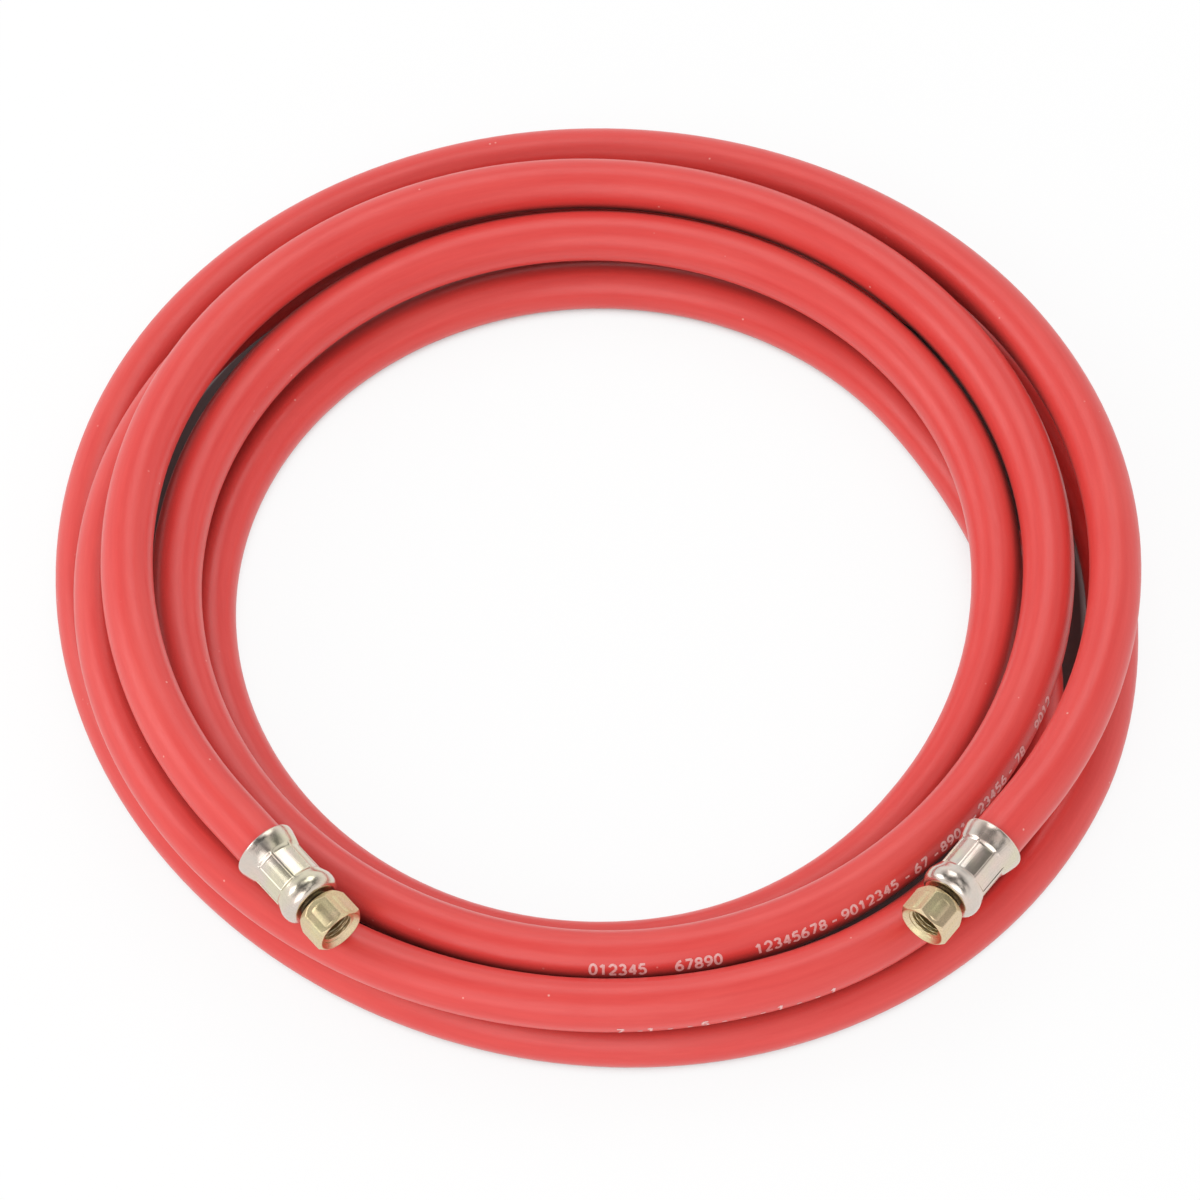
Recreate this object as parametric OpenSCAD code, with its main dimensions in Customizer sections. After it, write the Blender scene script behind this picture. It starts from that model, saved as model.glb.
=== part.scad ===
// Coiled air hose with a crimped swivel-nut fitting on each end.
// Millimetres. The coil lies on z = 0 with its own axis on Z.
// Turn angles run counter-clockwise seen from above, from the right end to the left end.

/* [Hose] */
// outside diameter of the rubber cover
hose_d = 18.5; // [17.5:0.25:19.5]
// bore of the hose
bore_d = 8; // [7:0.25:8.5]
// wall of the inner rubber tube
liner_wall = 2; // [1.5:0.1:2.4]
// wall of the textile braid
braid_wall = 1; // [0.6:0.1:1.3]
// clearance between one layer and the next
layer_gap = 0.08; // [0.05:0.01:0.12]

/* [Coil] */
// radius of the outermost lap's centre line
coil_r = 187; // [170:1:210]
// straight stretch of hose behind each fitting
straight_len = 18.5; // [15:0.5:22]

/* [Ferrule] */
// length of the ferrule
ferrule_len = 28.4; // [27:0.2:31]
// how far the flared rear rim stands out from the hose
rim_flare = 2.25; // [1.95:0.05:2.55]
// length of the flared rear part
flare_len = 8; // [7:0.2:9]
// wall under the crimp flats
ferrule_wall = 0.84; // [0.75:0.01:1]
// height of the ridges between the crimp flats
ridge_height = 0.5; // [0.35:0.05:0.7]
// how far the front collar stands out from the ridges
collar_height = 1.3; // [1:0.05:1.6]
// length of the front collar
collar_len = 9; // [8.4:0.2:10]
// share of the cover's wall that the crimp presses in
squeeze_share = 0.45; // [0.4:0.01:0.5]
// length over which the crimped cover narrows
squeeze_len = 2.5; // [2:0.1:3]
// thickness of the lip that locks the ferrule to the insert
lip_t = 1.8; // [1.4:0.1:2.2]
// number of crimp flats
crimp_flats = 8; // [6:1:10]
// turn of the right ferrule's crimp flats
crimp_angle_right = 11; // [0:1:44]
// turn of the left ferrule's crimp flats
crimp_angle_left = 10; // [0:1:44]

/* [Insert] */
// bore through the insert
insert_bore_d = 5.5; // [5:0.1:6]
// diameter at the root of a barb
barb_root_d = 6.6; // [6.4:0.1:7]
// number of barbs
barb_count = 5; // [4:1:6]
// length of the tail inside the hose
tail_len = 22.5; // [21:0.5:23]
// diameter of the flange behind the lip
flange_d = 9.9; // [9.4:0.1:9.9]
// thickness of the flange behind the lip
flange_t = 1.75; // [1.4:0.05:2.1]
// clearance between the hose's end and the flange
stop_gap = 0.2; // [0.1:0.05:0.4]
// diameter of the groove that takes the lip
groove_d = 8.6; // [8.2:0.1:8.9]
// diameter of the neck that carries the nut
neck_d = 10; // [9.6:0.1:10.2]
// diameter of the head inside the nut
head_d = 11.2; // [11:0.05:11.3]
// length of the round part of the head
head_len = 1; // [0.6:0.1:1.2]
// diameter of the cone's small end
cone_tip_d = 8.2; // [8:0.1:8.8]

/* [Nut] */
// size across flats
nut_af = 17; // [16.5:0.25:19]
// length of the nut
nut_len = 12.2; // [11.8:0.2:14]
// gap between the ferrule and the nut
nut_gap = 1.6; // [1:0.1:2]
// thickness of the nut's rear wall
nut_wall = 2.6; // [2.2:0.1:2.9]
// minor diameter of the thread
thread_minor_d = 11.44; // [11.4:0.02:11.6]
// diameter of the relief behind the thread
relief_d = 13.2; // [12.8:0.1:13.6]
// length of the relief behind the thread
relief_len = 4; // [3.8:0.1:4.4]
// diameter of the countersink at the mouth
mouth_d = 16.2; // [15.4:0.1:16.4]
// depth of the countersink at the mouth
mouth_depth = 1.4; // [1:0.1:1.7]
// turn of the right nut about its axis
nut_angle_right = 9; // [0:1:59]
// turn of the left nut about its axis
nut_angle_left = 52; // [0:1:59]

/* [Fits] */
// radial clearance of the nut on the neck
swivel_fit = 0.05; // [0.03:0.01:0.08]
// clearance between pieces that lie against each other
seat_gap = 0.05; // [0.04:0.01:0.1]
// axial clearance of the head against the nut's rear wall
head_gap = 0.1; // [0.05:0.05:0.2]

/* [Hidden] */
$fn = 72;

// turn angles where the curved hose begins and ends, and the step between two rings
first_angle = -37;
last_angle = 1662;
ring_step = 15;
sides = 6;

// the coil's shape, with every offset and lift in hose diameters
// the outer lap's shift and oval, each with the angle where it is largest
outer_shift = [0.33, 95];
outer_oval = [0.29, 137.5];
// the second lap steps in between two turn angles, with its own shift and oval
second_step = [-0.5, 335, 360];
second_shift = [0.34, 295];
second_oval = [0.24, 180];
// the inner laps step in between two turn angles, with their own shift
inner_step = [-2, 650, 755];
inner_shift = [0.19, 265];
// from this turn angle on, the spiral opens by this much a lap
opening = [0.97, 1040];
// each end is drawn in a little towards the coil's middle
right_tuck = [-0.22, 140];
left_tuck = [-0.12, 1555];
// height of the right end, and each change of height between two turn angles
start_share = 2.3;
lifts = [[-37, 140, -2.3], [400, 570, 1.25], [645, 735, -1.25], [1000, 1105, 1.2],
  [1350, 1435, 0.4], [1510, 1662, 0.8]];
// the lowest lap is cut flat where it lies, a tenth of the hose's diameter deep
flat_share = 0.1;

function ease(a, from, to) = (1 - cos(180 * max(0, min(1, (a - from) / (to - from))))) / 2;
function shift(a, s) = s[0] * cos(a - s[1]);
function oval(a, s) = s[0] * cos(2 * (a - s[1]));
function share2(a) = ease(a, second_step[1], second_step[2]);
function share3(a) = ease(a, inner_step[1], inner_step[2]);
function tucks(a) = right_tuck[0] * (1 - ease(a, first_angle, right_tuck[1]))
  + left_tuck[0] * ease(a, left_tuck[1], last_angle);
function steps(a) = second_step[0] * share2(a) + inner_step[0] * share3(a)
  + opening[0] * max(0, a - opening[1]) / 360;
function shapes(a) = (shift(a, outer_shift) + oval(a, outer_oval)) * (1 - share2(a))
  + (shift(a, second_shift) + oval(a, second_oval)) * share2(a) * (1 - share3(a))
  + shift(a, inner_shift) * share3(a);
function sum(v, i = 0) = i < len(v) ? v[i] + sum(v, i + 1) : 0;
function lift(a) = start_share + sum([for (l = lifts) l[2] * ease(a, l[0], l[1])]);
function lap_r(a) = coil_r + hose_d * (tucks(a) + steps(a) + shapes(a));
// the coil is moved so that the middle of its box lies on the origin
turns = concat([first_angle], [for (a = [-30:ring_step:1650]) a], [last_angle]);
all_x = [for (a = turns) lap_r(a) * cos(a)];
all_y = [for (a = turns) lap_r(a) * sin(a)];
mid_x = (max(all_x) + min(all_x)) / 2;
mid_y = (max(all_y) + min(all_y)) / 2;
function centre(a) = [lap_r(a) * cos(a) - mid_x, lap_r(a) * sin(a) - mid_y,
  hose_d * (0.5 - flat_share + lift(a))];
function unit(v) = v / norm(v);
function level(v) = unit([v[0], v[1], 0]);
function heading(v) = atan2(v[1], v[0]);

// the two ends: the first ring of the straight stretch, its way out and the rear rim's centre
right_end = centre(first_angle);
right_way = level(right_end - centre(first_angle + 0.5));
left_end = centre(last_angle);
left_way = level(left_end - centre(last_angle - 0.5));
right_rim = right_end + right_way * straight_len;
left_rim = left_end + left_way * straight_len;

// stations along each fitting, from the rear rim
lip_end = ferrule_len - lip_t / 3;
lip_at = lip_end - lip_t;
groove_at = lip_at - seat_gap;
groove_end = lip_end + seat_gap;
flange_at = groove_at - flange_t;
hose_stop = flange_at - stop_gap;
squeeze_from = flare_len - 0.6 * squeeze_len;
squeeze_to = squeeze_from + squeeze_len;
waist_end = ferrule_len - collar_len;
nut_at = ferrule_len + nut_gap;
neck_end = nut_at + nut_wall + head_gap;
cone_at = neck_end + head_len;
cone_end = cone_at + (head_d - cone_tip_d) / 2 / tan(30);
thread_at = nut_at + nut_wall + relief_len;
mouth_at = nut_at + nut_len;
thread_end = mouth_at - mouth_depth;

// rings: a centre, a way along the hose and the share of the crimp
function along(a) = unit(centre(min(a + 0.5, last_angle)) - centre(max(a - 0.5, first_angle)));
right_stations = [hose_stop, squeeze_to, squeeze_from, 0];
left_stations = [0, squeeze_from, squeeze_to, hose_stop];
function crimp(s) = s >= squeeze_to ? 1 : 0;
rings = concat(
  [for (s = right_stations) [right_rim + right_way * s, -right_way, crimp(s)]],
  [for (a = turns) [centre(a), a == first_angle ? -right_way : a == last_angle ? left_way : along(a), 0]],
  [for (s = left_stations) [left_rim + left_way * s, left_way, crimp(s)]]);
ring_count = len(rings);

function corner(ring, r, k) = let(side = unit(cross(ring[1], [0, 0, 1])), up = cross(side, ring[1]),
  p = ring[0] + r * (side * cos(360 * k / sides) + up * sin(360 * k / sides))) [p[0], p[1], max(0, p[2])];
function skin(r, crimped) = [for (g = rings, k = [0:sides - 1])
  corner(g, r + g[2] * (crimped - r), k)];

// a closed tube between two six-sided skins
module tube(outer, inner, crimped) {
  n = ring_count * sides;
  outside = [for (i = [0:ring_count - 2], k = [0:sides - 1], h = [0, 1])
    let(j = (k + 1) % sides, a = i * sides + k, b = i * sides + j, c = a + sides, d = b + sides)
    h == 0 ? [a, b, d] : [a, d, c]];
  inside = [for (f = outside) [n + f[2], n + f[1], n + f[0]]];
  first = [for (k = [0:sides - 1], h = [0, 1]) let(j = (k + 1) % sides)
    h == 0 ? [k, n + k, n + j] : [k, n + j, j]];
  m = (ring_count - 1) * sides;
  last = [for (k = [0:sides - 1], h = [0, 1]) let(j = (k + 1) % sides)
    h == 0 ? [m + k, n + m + j, n + m + k] : [m + k, m + j, n + m + j]];
  polyhedron(concat(skin(outer, crimped), skin(inner, inner)), concat(outside, inside, first, last));
}

// radii of the layers, each six-sided with its corners on these circles
bore_r = bore_d / 2 / cos(180 / sides);
liner_r = bore_d / 2 + liner_wall;
braid_in_r = liner_r + layer_gap;
braid_r = braid_in_r + braid_wall;
cover_in_r = braid_r + layer_gap;

// the crimp presses the cover in, and the ferrule's sizes follow from that
crimped_d = hose_d - 2 * squeeze_share * (hose_d / 2 - cover_in_r);
waist_flats = crimped_d + 2 * (seat_gap + ferrule_wall);
waist_ridges = waist_flats + 2 * ridge_height;
collar_d = waist_ridges + 2 * collar_height;
rim_d = hose_d + 2 * rim_flare;

module hose_cover() {
  color("red")
    tube(hose_d / 2, cover_in_r, crimped_d / 2);
}

module hose_braid() {
  color("white")
    tube(braid_r, braid_in_r, braid_r);
}

module hose_liner() {
  color("dimgray")
    tube(liner_r, bore_r, liner_r);
}

// stands a piece that is drawn along Z on the rear rim of an end, with Z pointing out of the end
module on_end(rim, way) {
  translate(rim)
    rotate([0, 90, heading(way)])
      children();
}

// the ferrule before crimping, as outline points of radius and station
module ferrule_body() {
  hose_bore = hose_d / 2 + seat_gap;
  crimp_bore = crimped_d / 2 + seat_gap;
  ridge_r = waist_ridges / 2;
  rim_r = rim_d / 2;
  collar_r = collar_d / 2;
  lip_bore = groove_d / 2 + seat_gap;
  rotate_extrude()
    polygon([
      [hose_bore + 0.3 * rim_flare, 0],
      [rim_r - 0.18 * rim_flare, 0],
      [rim_r, 0.05 * flare_len],
      [rim_r, 0.175 * flare_len],
      [rim_r - 0.16 * rim_flare, 0.375 * flare_len],
      [hose_bore + 0.6 * rim_flare, 0.625 * flare_len],
      [hose_bore + 0.29 * rim_flare, 0.85 * flare_len],
      [ridge_r, flare_len],
      [ridge_r, waist_end],
      [ridge_r + 0.23 * collar_height, waist_end + 0.11 * collar_len],
      [collar_r - 0.15 * collar_height, waist_end + 0.36 * collar_len],
      [collar_r, waist_end + 0.47 * collar_len],
      [collar_r, waist_end + 0.62 * collar_len],
      [collar_r - 0.3 * collar_height, waist_end + 0.78 * collar_len],
      [collar_r - 0.92 * collar_height, waist_end + 0.91 * collar_len],
      [collar_r - 1.85 * collar_height, waist_end + 0.99 * collar_len],
      [collar_r - 2.46 * collar_height, ferrule_len],
      [0.59 * neck_d, ferrule_len],
      [0.53 * neck_d, lip_end],
      [lip_bore, lip_end],
      [lip_bore, lip_at],
      [crimp_bore, lip_at],
      [crimp_bore, squeeze_to],
      [hose_bore, squeeze_from],
      [hose_bore, 0.09 * flare_len]
    ]);
}

// what the crimping jaws leave: everything behind and before the waist, and a prism between
module crimp_limit(turn) {
  over = 1;
  translate([0, 0, -over])
    cylinder(r = rim_d, h = flare_len + over);
  rotate([0, 0, turn])
    translate([0, 0, flare_len - 0.01])
      cylinder(r = waist_flats / 2 / cos(180 / crimp_flats), h = waist_end - flare_len + 0.02, $fn = crimp_flats);
  translate([0, 0, waist_end])
    cylinder(r = rim_d, h = ferrule_len - waist_end + over);
}

module ferrule(turn) {
  intersection() {
    ferrule_body();
    crimp_limit(turn);
  }
}

// the insert: barbed tail, flange, lip groove, neck, head and sealing cone
module insert() {
  bore = insert_bore_d / 2;
  barb_r = bore_d / 2 - seat_gap;
  root_r = barb_root_d / 2;
  tail_at = hose_stop - tail_len;
  barb_step = tail_len / (barb_count + 0.625);
  rotate_extrude()
    polygon(concat(
      [[bore, tail_at], [0.94 * root_r, tail_at]],
      [for (i = [0:barb_count - 1], h = [0, 1])
        h == 0 ? [root_r, tail_at + (i + 0.1) * barb_step] : [barb_r, tail_at + (i + 1) * barb_step]],
      [
        [root_r, tail_at + (barb_count + 0.075) * barb_step],
        [root_r, flange_at],
        [flange_d / 2, flange_at],
        [flange_d / 2, groove_at],
        [groove_d / 2, groove_at],
        [groove_d / 2, groove_end],
        [neck_d / 2, groove_end],
        [neck_d / 2, neck_end],
        [head_d / 2, neck_end],
        [head_d / 2, cone_at],
        [cone_tip_d / 2, cone_end],
        [1.11 * bore, cone_end],
        [bore, cone_end - 0.11 * bore]
      ]));
}

// the swivel nut: a hexagon with turned ends, bored for the neck and the thread
module nut(turn) {
  corner_r = nut_af / 2 / cos(30);
  flat_r = nut_af / 2;
  difference() {
    intersection() {
      rotate([0, 0, turn])
        translate([0, 0, nut_at])
          cylinder(r = corner_r, h = nut_len, $fn = 6);
      rotate_extrude()
        polygon([
          [0, nut_at],
          [0.94 * flat_r, nut_at],
          [flat_r, nut_at + 0.06 * nut_len],
          [1.01 * corner_r, nut_at + 0.24 * nut_len],
          [1.01 * corner_r, mouth_at - 0.09 * nut_len],
          [1.03 * flat_r, mouth_at],
          [0, mouth_at]
        ]);
    }
    translate([0, 0, nut_at - nut_wall])
      cylinder(d = neck_d + 2 * swivel_fit, h = 2.5 * nut_wall);
    translate([0, 0, nut_at + nut_wall])
      cylinder(d = relief_d, h = relief_len);
    translate([0, 0, thread_at - relief_len / 8])
      cylinder(d = thread_minor_d, h = nut_len);
    translate([0, 0, thread_end])
      cylinder(d1 = thread_minor_d, d2 = mouth_d, h = mouth_depth);
    translate([0, 0, mouth_at - 0.001])
      cylinder(d = mouth_d, h = mouth_depth);
  }
}

module ferrule_right() {
  color("silver")
    on_end(right_rim, right_way)
      ferrule(crimp_angle_right);
}

module ferrule_left() {
  color("silver")
    on_end(left_rim, left_way)
      ferrule(crimp_angle_left);
}

module insert_right() {
  color("gray")
    on_end(right_rim, right_way)
      insert();
}

module insert_left() {
  color("gray")
    on_end(left_rim, left_way)
      insert();
}

module swivel_nut_right() {
  color("darkkhaki")
    on_end(right_rim, right_way)
      nut(nut_angle_right);
}

module swivel_nut_left() {
  color("darkkhaki")
    on_end(left_rim, left_way)
      nut(nut_angle_left);
}

// the least gap of the hose to itself, on its rings and halfway between them
lap_steps = 360 / ring_step;
mids = [for (i = [0:len(turns) - 2]) (centre(turns[i]) + centre(turns[i + 1])) / 2];
starts = [for (a = turns) centre(a)];
function gaps(v) = [for (i = [0:len(v) - 1], lap = [1:4], off = [-1:1])
  let(j = i + lap * lap_steps + off) if (j < len(v)) norm(v[i] - v[j]) - hose_d];
echo(least_gap_on_rings = min(gaps(starts)), least_gap_between_rings = min(gaps(mids)));

// the least gap of each nut and ferrule to the strands that pass by
function passing(rim, way, at, r, from, to) = [for (i = [0:len(mids) - 1], s = at)
  if (turns[i] > from && turns[i] < to) for (p = [mids[i], starts[i]]) norm(p - rim - way * s) - r - hose_d / 2];
nut_line = [for (s = [nut_at:2:mouth_at]) s];
ferrule_line = [for (s = [0:2:ferrule_len]) s];
echo(right_nut_gap = min(passing(right_rim, right_way, nut_line, nut_af / 2 / cos(30), 200, 1600)),
  left_nut_gap = min(passing(left_rim, left_way, nut_line, nut_af / 2 / cos(30), 20, 1420)),
  right_ferrule_gap = min(passing(right_rim, right_way, ferrule_line, rim_d / 2, 200, 1600)),
  left_ferrule_gap = min(passing(left_rim, left_way, ferrule_line, rim_d / 2, 20, 1420)));

// the hose's length between the two faces where it stops inside the fittings
fine = [for (a = [first_angle:1:last_angle]) centre(a)];
function add_len(v, a, b) = b - a < 2 ? (b > a ? norm(v[b] - v[a]) : 0)
  : let(m = floor((a + b) / 2)) add_len(v, a, m) + add_len(v, m, b);
curved = add_len(fine, 0, len(fine) - 1);
echo(hose_length = curved + 2 * (straight_len + hose_stop), over_the_nuts = curved + 2 * (straight_len + mouth_at));
echo(right_rim = right_rim, right_way = right_way, left_rim = left_rim, left_way = left_way);
echo(thread_at = thread_at, thread_end = thread_end, cone_end = cone_end, mouth_at = mouth_at);

hose_cover();
hose_braid();
hose_liner();
ferrule_right();
insert_right();
swivel_nut_right();
ferrule_left();
insert_left();
swivel_nut_left();
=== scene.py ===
# %% [markdown]
# # A coiled air hose
# A compressor hose is a rubber tube with a woven layer inside its wall, and a
# crimped steel fitting on each end. Here it lies in a flat coil of nearly five
# turns. The engineering solids come first, as a fixed frame, and every new piece
# below is a smooth surface that stands where its solid stands.

# %% Load the solids
import bpy
import numpy as np
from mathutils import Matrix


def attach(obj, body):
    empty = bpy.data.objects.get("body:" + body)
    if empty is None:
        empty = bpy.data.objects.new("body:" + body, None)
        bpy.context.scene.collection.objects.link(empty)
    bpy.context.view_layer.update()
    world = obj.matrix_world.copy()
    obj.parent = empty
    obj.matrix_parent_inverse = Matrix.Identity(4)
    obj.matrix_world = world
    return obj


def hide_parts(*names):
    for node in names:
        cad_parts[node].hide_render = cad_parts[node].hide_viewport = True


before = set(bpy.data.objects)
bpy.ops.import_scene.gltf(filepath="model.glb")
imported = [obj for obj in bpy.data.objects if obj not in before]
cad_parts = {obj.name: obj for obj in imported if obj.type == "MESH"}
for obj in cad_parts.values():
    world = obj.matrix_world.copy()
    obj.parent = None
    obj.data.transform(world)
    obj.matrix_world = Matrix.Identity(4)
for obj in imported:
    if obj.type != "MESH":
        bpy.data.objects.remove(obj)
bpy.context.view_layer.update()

# %% [markdown]
# ## Sizes
# The sizes are the real ones, in millimetres, and MM turns them into metres
# when a mesh is made. The hose's outside diameter is used most, because the
# coil's shape is easiest to say in hose diameters.

# %% Sizes
MM = 0.001
HOSE_D = 18.5
BORE_D = 8.0
LINER_WALL, BRAID_WALL, LAYER_GAP = 2.0, 1.0, 0.08
liner_r = BORE_D / 2 + LINER_WALL
braid_r = liner_r + LAYER_GAP + BRAID_WALL
print("layers reach", liner_r, braid_r, HOSE_D / 2, "mm from the hose's middle")

# %% [markdown]
# ## The way that the hose lies
# A hose that is coiled by hand is no perfect spiral: each lap is a little oval,
# sits a little off centre and climbs over its neighbours. A list of points
# would do, but a rule is better, because it stays smooth at any step. The rule
# gives a radius and a height for each turn angle, and soft steps between laps.
# Apart from the coil's radius, its lengths are in hose diameters. Each wave is
# a size, the angle of its peak and how often it comes in a turn.


# %% The laps' radius
COIL_R = 187.0
TURN_FROM, TURN_TO = -37.0, 1662.0
RIGHT_TUCK, RIGHT_TUCK_END = -0.22, 140
LEFT_TUCK, LEFT_TUCK_START = -0.12, 1555
SECOND_STEP, SECOND_SPAN = -0.5, (335, 360)
INNER_STEP, INNER_SPAN = -2, (650, 755)
WIDENING, WIDENS_FROM = 0.97, 1040
OUTER_WAVES = ((0.33, 95, 1), (0.29, 137.5, 2))
SECOND_WAVES = ((0.34, 295, 1), (0.24, 180, 2))
INNER_WAVES = ((0.19, 265, 1),)


def ease(angle, start, end):
    """Half a cosine wave: 0 before start, 1 after end, level at both."""
    share = np.clip((angle - start) / (end - start), 0, 1)
    return (1 - np.cos(np.pi * share)) / 2


def waves(angle, terms):
    """Sum of size x cos(times x (angle - peak)), with angles in degrees."""
    return sum(size * np.cos(np.radians(times * (angle - peak))) for size, peak, times in terms)


def lap_radius(angle):
    """Coil radius + diameter x (tucks at the ends + steps between laps + ovals)."""
    second, inner = ease(angle, *SECOND_SPAN), ease(angle, *INNER_SPAN)
    right_tuck = RIGHT_TUCK * (1 - ease(angle, TURN_FROM, RIGHT_TUCK_END))
    tucks = right_tuck + LEFT_TUCK * ease(angle, LEFT_TUCK_START, TURN_TO)
    widening = WIDENING * np.maximum(0, angle - WIDENS_FROM) / 360
    steps = SECOND_STEP * second + INNER_STEP * inner + widening
    outer_lap = waves(angle, OUTER_WAVES) * (1 - second)
    second_lap = waves(angle, SECOND_WAVES) * second * (1 - inner)
    ovals = outer_lap + second_lap + waves(angle, INNER_WAVES) * inner
    return COIL_R + HOSE_D * (tucks + steps + ovals)


print("radius of four laps at the back, mm:", lap_radius(90 + 360 * np.arange(4)).round(1))

# %% [markdown]
# A hose that lies on the floor is pressed flat by a tenth of its diameter, so
# its middle is 0.4 of a diameter up. The right end starts high. Each lift has
# the turn angle where it starts, the angle where it ends, and its height.


# %% The laps' height
ON_FLOOR, START_LIFT = 0.4, 2.3
LIFTS = (
    (-37, 140, -2.3), (400, 570, 1.25), (645, 735, -1.25),
    (1000, 1105, 1.2), (1350, 1435, 0.4), (1510, 1662, 0.8))


def lap_height(angle):
    """Diameter x (0.4 on the floor + the right end's lift + the eased lifts up to here)."""
    lifts = sum(size * ease(angle, start, end) for start, end, size in LIFTS)
    return HOSE_D * (ON_FLOOR + START_LIFT + lifts)


print("height of four laps at the back, mm:", lap_height(90 + 360 * np.arange(4)).round(1))

# %% [markdown]
# The solids' coil has a ring every 15 degrees. Its box is centred on the
# origin, so the smooth line is moved by the middle of those same rings.


# %% The hose's middle line
FIRST_RING, LAST_RING, RING_STEP = -30, 1650, 15


def flat_line(angle):
    """x = r cos a, y = r sin a."""
    radius, turn = lap_radius(angle), np.radians(angle)
    return np.stack([radius * np.cos(turn), radius * np.sin(turn)], -1)


whole_rings = np.arange(FIRST_RING, LAST_RING + 1, RING_STEP)
rings = flat_line(np.concatenate([[TURN_FROM], whole_rings, [TURN_TO]]))
middle = (rings.max(0) + rings.min(0)) / 2


def hose_line(angle):
    """The hose's middle line, moved so that the coil's box is centred."""
    angle = np.asarray(angle, float)
    return np.concatenate([flat_line(angle) - middle, lap_height(angle)[..., None]], -1)


print("coil moved by", middle, "mm")

# %% [markdown]
# ## Camera
# The camera looks down at the coil from the front at 58.5 degrees, from 120 hose
# diameters away, a little over two metres, through a long lens, so that the far
# laps are only a little smaller than the near ones. The lens follows from how
# many of the image's 1200 pixels one hose diameter covers.

# %% Camera
ELEVATION = np.radians(58.47)
EYE_DISTANCE = 120
DIAMETER_PIXELS, IMAGE_PIXELS, SENSOR = 50.9, 1200, 36
AIM_SHIFT, AIM_RISE = (-0.22, 0, -1.85), 3.66
look_back = np.array([0, -np.cos(ELEVATION), np.sin(ELEVATION)])
look_up = np.array([0, np.sin(ELEVATION), np.cos(ELEVATION)])
aim = np.append(-middle, 0) + AIM_SHIFT + AIM_RISE * look_up
eye = aim + EYE_DISTANCE * HOSE_D * look_back
camera = bpy.data.objects.new("camera", bpy.data.cameras.new("camera"))
bpy.context.scene.collection.objects.link(camera)
camera.data.sensor_width = SENSOR
camera.data.lens = DIAMETER_PIXELS * EYE_DISTANCE / IMAGE_PIXELS * SENSOR
camera.data.clip_end = 20
camera.location = eye * MM
camera.rotation_euler = (np.pi / 2 - ELEVATION, 0, 0)
bpy.context.scene.camera = camera
print("lens, mm:", camera.data.lens, " eye, m:", eye * MM)

# %% [markdown]
# ## Where each fitting stands
# The hose runs straight for one diameter before a fitting, and the fitting goes
# straight on from it. Its own axis is Z, from the rear rim of the ferrule to the
# nut's mouth, and a frame of three directions turns that drawing into place. The
# way out is measured over the last half degree of the coil.


# %% Fitting frames
STRAIGHT = 18.5
LAST_PIECE = 0.5


def fitting_frame(end_angle, next_angle):
    """Rear rim's middle, and the directions of the fitting's own X, Y and Z."""
    end, before = hose_line(end_angle), hose_line(next_angle)
    way = (end - before) * [1, 1, 0]
    way /= np.linalg.norm(way)
    return end + way * STRAIGHT, np.array([[0, 0, -1], [-way[1], way[0], 0], way])


FITTINGS = {
    "right": fitting_frame(TURN_FROM, TURN_FROM + LAST_PIECE),
    "left": fitting_frame(TURN_TO, TURN_TO - LAST_PIECE)}


def place(points, side):
    """Local points to the coil's frame: rim + x X + y Y + z Z."""
    rim, axes = FITTINGS[side]
    return rim + points @ axes


for side, (rim, axes) in FITTINGS.items():
    print(side, "rim", rim.round(3), "way", axes[2].round(6))

# %% [markdown]
# ## One helper for every surface
# A tube, a ferrule and a nut are all grids: rows along the section's outline and
# columns around it, both of them closed. The helper joins the grid into quads,
# turns it outwards if it came out inside out, and stores a map of the surface,
# so that a pattern can follow it.


# %% Surface helper
def surface(name, grid, along, around=None, sharp=35):
    """Quads between neighbouring grid points; signed volume tells which way they face."""
    rows, columns = grid.shape[:2]
    row, column = np.indices((rows, columns))
    corner_rows = np.stack([row, row, row + 1, row + 1], -1).reshape(-1, 4)
    corner_columns = np.stack([column, column + 1, column + 1, column], -1).reshape(-1, 4)
    quads = (corner_rows % rows) * columns + corner_columns % columns
    flat = grid.reshape(-1, 3) * MM
    a, b, c, d = (flat[quads[:, k]] for k in range(4))
    volume = ((np.cross(a, b) * c).sum() + (np.cross(a, c) * d).sum()) / 6
    if volume < 0:
        quads = quads[:, ::-1]
        corner_rows, corner_columns = corner_rows[:, ::-1], corner_columns[:, ::-1]
    mesh = bpy.data.meshes.new(name)
    mesh.from_pydata(flat.tolist(), [], quads.tolist())
    along = np.append(along, along[-1] + (along[-1] - along[-2]))
    around = np.arange(columns + 1) / columns if around is None else around
    spots = np.stack([along[corner_rows], around[corner_columns]], -1)
    surface_map = mesh.uv_layers.new(name="map")
    surface_map.data.foreach_set("uv", spots.ravel().astype(np.float32))
    mesh.shade_smooth()
    mesh.set_sharp_from_angle(angle=np.radians(sharp))
    piece = bpy.data.objects.new(name, mesh)
    bpy.context.scene.collection.objects.link(piece)
    print(f"{name}: {len(quads)} quads, {abs(volume) / MM ** 3:.0f} mm3")
    return piece


# %% [markdown]
# ## Paint helpers
# Every finish is a few shader nodes. A small function makes a node and plugs its
# sockets, so that a finish reads as a short list of what it is made of. A socket
# is called by its name, or by i and its number where names repeat.


# %% Paint helpers
def plug(tree, socket, value):
    """Another node's output is linked; a number or colour is set on the socket."""
    if isinstance(value, bpy.types.NodeSocket):
        tree.links.new(value, socket)
    else:
        socket.default_value = value


def node(tree, kind, settings=None, **sockets):
    """A shader node with its settings, and its sockets plugged."""
    made = tree.nodes.new(kind)
    for key, value in (settings or {}).items():
        setattr(made, key, value)
    for key, value in sockets.items():
        numbered = key[0] == "i" and key[1:].isdigit()
        plug(tree, made.inputs[int(key[1:]) if numbered else key.replace("_", " ")], value)
    return made


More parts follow.
